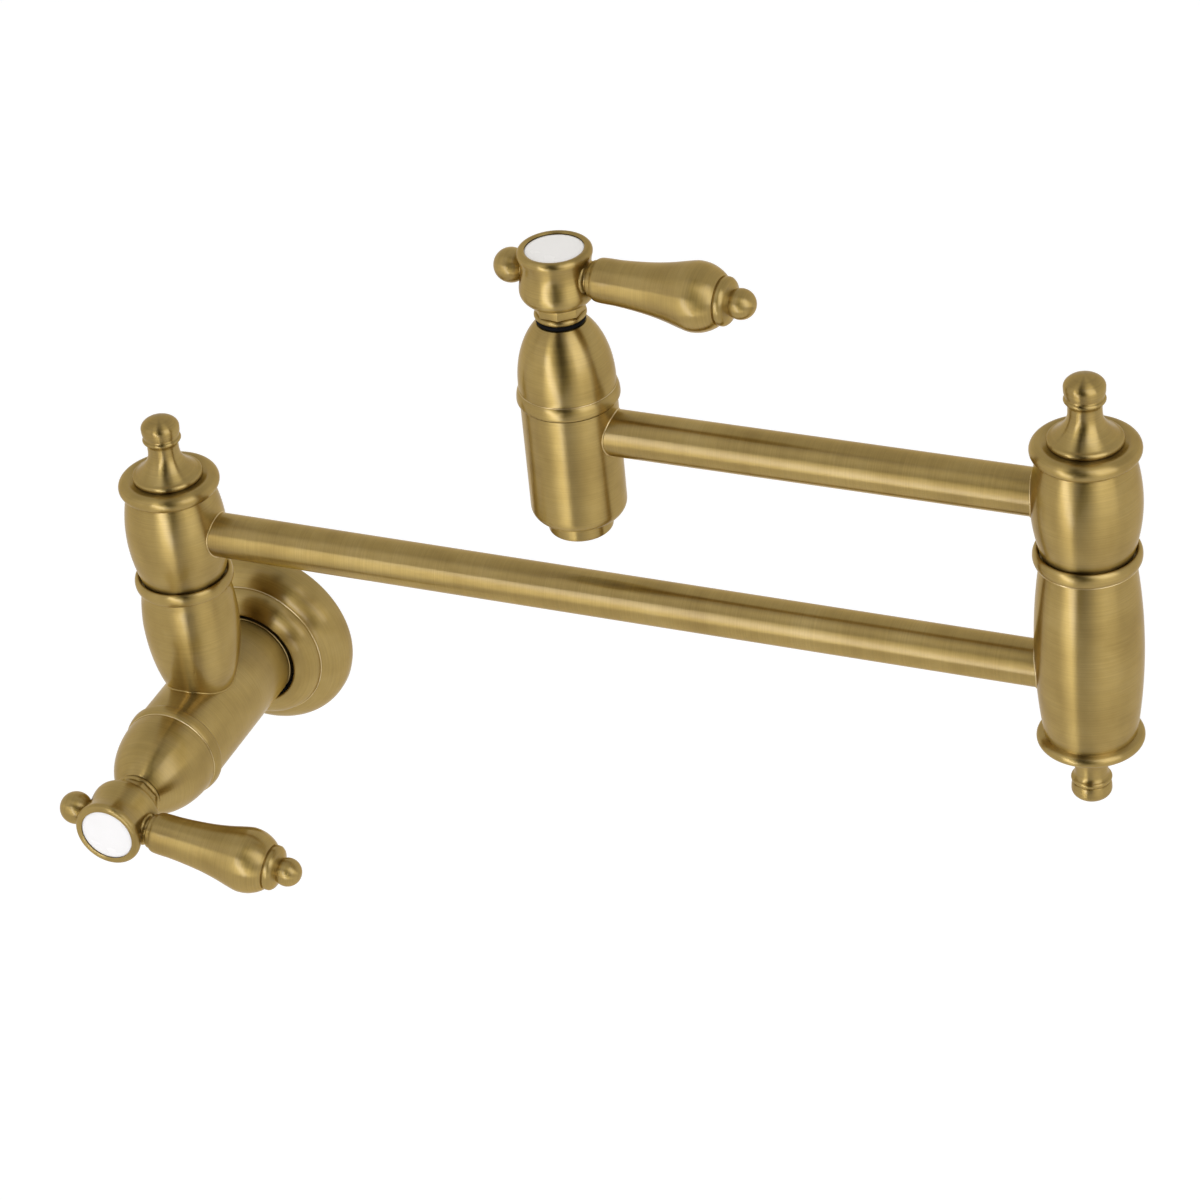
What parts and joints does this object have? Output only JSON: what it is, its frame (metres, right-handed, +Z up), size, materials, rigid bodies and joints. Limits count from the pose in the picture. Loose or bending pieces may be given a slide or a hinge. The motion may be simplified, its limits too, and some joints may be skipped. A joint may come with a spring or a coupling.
{
  "type": "wall mounted pot filler tap",
  "caption": "Wall mounted folding pot filler: flanged inlet with lever valve, stacked swivel arms on turned barrels, and a straight spout with its own lever valve.",
  "frame": {"origin": "centre of the wall flange in the plane of the finished wall, on the axis of the supply pipe", "axes": "+X to the right along the wall and along the folded arms, +Y into the wall, +Z up; the room is at -Y"},
  "size_m": [0.463, 0.1609, 0.2992],
  "materials": {
    "satin_brass": "satin, finely brushed",
    "machined_brass": "machined, unplated",
    "steel": "plain stainless",
    "porcelain": "white glazed porcelain",
    "rubber": "black seal rubber",
    "acetal": "white acetal",
    "ceramic": "lapped alumina"
  },
  "bodies": {
    "wall_body": {"inlet_body": "satin_brass", "supply_union": "machined_brass", "union_spigot": "machined_brass", "wall_flange": "satin_brass", "flange_o_ring": "rubber", "inlet_bonnet": "satin_brass", "inlet_bonnet_o_ring": "rubber", "inlet_bonnet_nut": "satin_brass", "inlet_cartridge": "machined_brass", "inlet_fixed_disc": "ceramic", "inlet_seat_seal": "rubber", "shoulder_spindle": "machined_brass", "shoulder_thrust_washer": "acetal", "shoulder_lower_o_ring": "rubber", "shoulder_upper_o_ring": "rubber", "shoulder_nut": "steel"},
    "inlet_handle": {"inlet_stem": "machined_brass", "inlet_moving_disc": "ceramic", "inlet_handle_hub": "satin_brass", "inlet_handle_screw": "steel", "inlet_button": "porcelain", "inlet_lever_neck": "satin_brass", "inlet_lever_stud": "steel", "inlet_lever_grip": "satin_brass", "inlet_lever_tip": "satin_brass", "inlet_counter_ball": "satin_brass"},
    "arm_1": {"shoulder_barrel": "satin_brass", "shoulder_finial": "satin_brass", "arm_1_tube": "satin_brass", "elbow_lower_barrel": "satin_brass", "elbow_bottom_finial": "satin_brass", "elbow_spindle": "machined_brass", "elbow_thrust_washer": "acetal", "elbow_lower_o_ring": "rubber", "elbow_upper_o_ring": "rubber", "elbow_nut": "steel"},
    "arm_2": {"elbow_upper_barrel": "satin_brass", "elbow_finial": "satin_brass", "arm_2_tube": "satin_brass", "spout_body": "satin_brass", "spout_bonnet": "satin_brass", "spout_bonnet_o_ring": "rubber", "spout_bonnet_nut": "satin_brass", "spout_cartridge": "machined_brass", "spout_fixed_disc": "ceramic", "spout_seat_seal": "rubber", "aerator_housing": "satin_brass", "aerator_strainer": "acetal", "aerator_washer": "rubber"},
    "spout_handle": {"spout_stem": "machined_brass", "spout_moving_disc": "ceramic", "spout_handle_hub": "satin_brass", "spout_handle_screw": "steel", "spout_button": "porcelain", "spout_lever_neck": "satin_brass", "spout_lever_stud": "steel", "spout_lever_grip": "satin_brass", "spout_lever_tip": "satin_brass", "spout_counter_ball": "satin_brass"}
  },
  "joints": [
    {"name": "inlet_lever_turn", "type": "hinge", "parent": "wall_body", "child": "inlet_handle", "pos_m": [0, -0.1472, 0], "axis": [0, 1, 0], "range_deg": [0, 90]},
    {"name": "shoulder_swivel", "type": "hinge", "parent": "wall_body", "child": "arm_1", "pos_m": [0, -0.064, 0.0946], "axis": [0, 0, 1], "range_deg": [-180, 0]},
    {"name": "elbow_swivel", "type": "hinge", "parent": "arm_1", "child": "arm_2", "pos_m": [0.4, -0.064, 0.1739], "axis": [0, 0, 1], "range_deg": [-180, 180]},
    {"name": "spout_lever_turn", "type": "hinge", "parent": "arm_2", "child": "spout_handle", "pos_m": [0.1888, -0.064, 0.2438], "axis": [0, 0, -1], "range_deg": [0, 90]}
  ]
}
